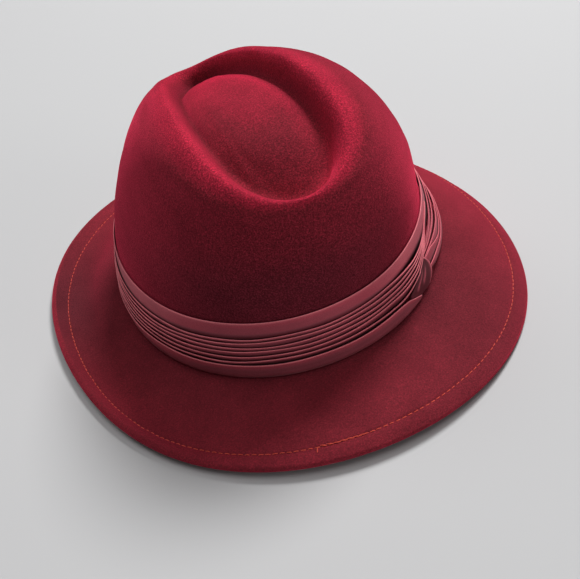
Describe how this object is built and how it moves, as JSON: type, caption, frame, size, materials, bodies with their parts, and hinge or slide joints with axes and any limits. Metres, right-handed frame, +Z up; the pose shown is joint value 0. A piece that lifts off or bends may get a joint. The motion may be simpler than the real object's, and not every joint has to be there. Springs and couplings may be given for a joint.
{
  "type": "felt fedora",
  "caption": "Soft felt fedora with a teardrop dent in the crown, an uneven turned-edge brim and a pleated cloth band folded over at its join; worn on the head.",
  "frame": {"origin": "middle of the hat's outline on the floor it rests on", "axes": "+Z up from the floor, -Y toward the front of the hat, +X toward the wearer's left"},
  "size_m": [0.2712, 0.3054, 0.1425],
  "materials": {
    "felt": "short-napped wool felt, deep red",
    "band_cloth": "matte dusty-rose cloth",
    "wrap_cloth": "matte dusty-rose cloth"
  },
  "bodies": {
    "root": {"felt_body": "felt", "pleated_band": "band_cloth", "band_wrap": "wrap_cloth"}
  },
  "joints": []
}
